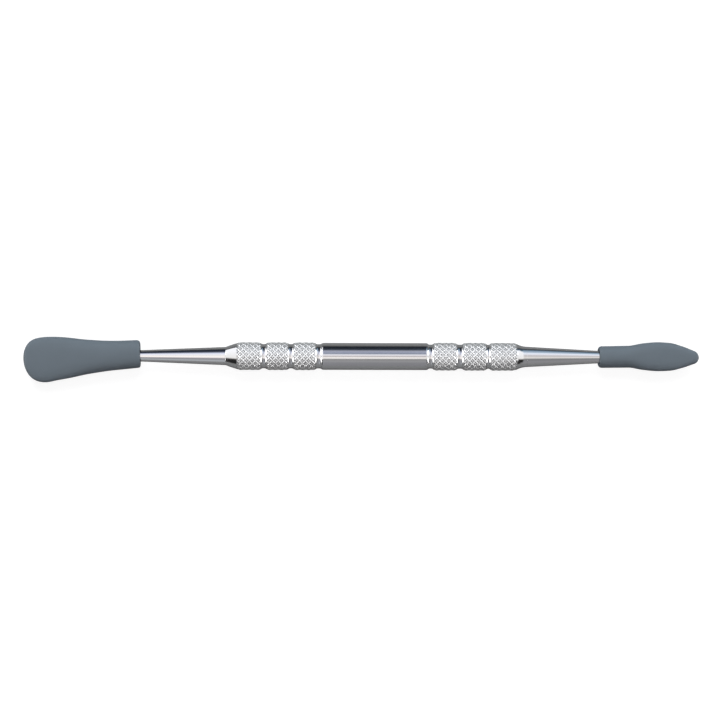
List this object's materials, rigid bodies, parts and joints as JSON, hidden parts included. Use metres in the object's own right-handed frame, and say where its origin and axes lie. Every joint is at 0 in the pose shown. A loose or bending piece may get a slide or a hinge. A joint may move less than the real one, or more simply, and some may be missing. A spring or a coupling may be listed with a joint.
{
  "type": "clay shaper tool",
  "caption": "Double-ended clay shaper: knurled steel handle with tapered shanks, a broad silicone paddle tip at one end and a slim silicone leaf tip at the other.",
  "frame": {"origin": "centre of the plain barrel, on the handle's axis", "axes": "+X along the handle towards the leaf tip, +Z square to the flat faces of both tips, +Y across the paddle's width"},
  "size_m": [0.1745, 0.0118, 0.0072],
  "materials": {
    "handle_steel": "bright turned stainless steel, fine polishing lines, diamond knurl",
    "shank_steel": "polished stainless steel",
    "silicone": "matte grey moulded silicone"
  },
  "bodies": {
    "handle": {"knurled_handle": "handle_steel", "paddle_shank": "shank_steel", "leaf_shank": "shank_steel"},
    "paddle": {"paddle_tip": "silicone"},
    "leaf": {"leaf_tip": "silicone"}
  },
  "joints": [
    {"name": "paddle_tip_pull", "type": "slide", "parent": "handle", "child": "paddle", "axis": [-1, 0, 0], "range_m": [0, 0.032]},
    {"name": "leaf_tip_pull", "type": "slide", "parent": "handle", "child": "leaf", "axis": [1, 0, 0], "range_m": [0, 0.028]}
  ]
}
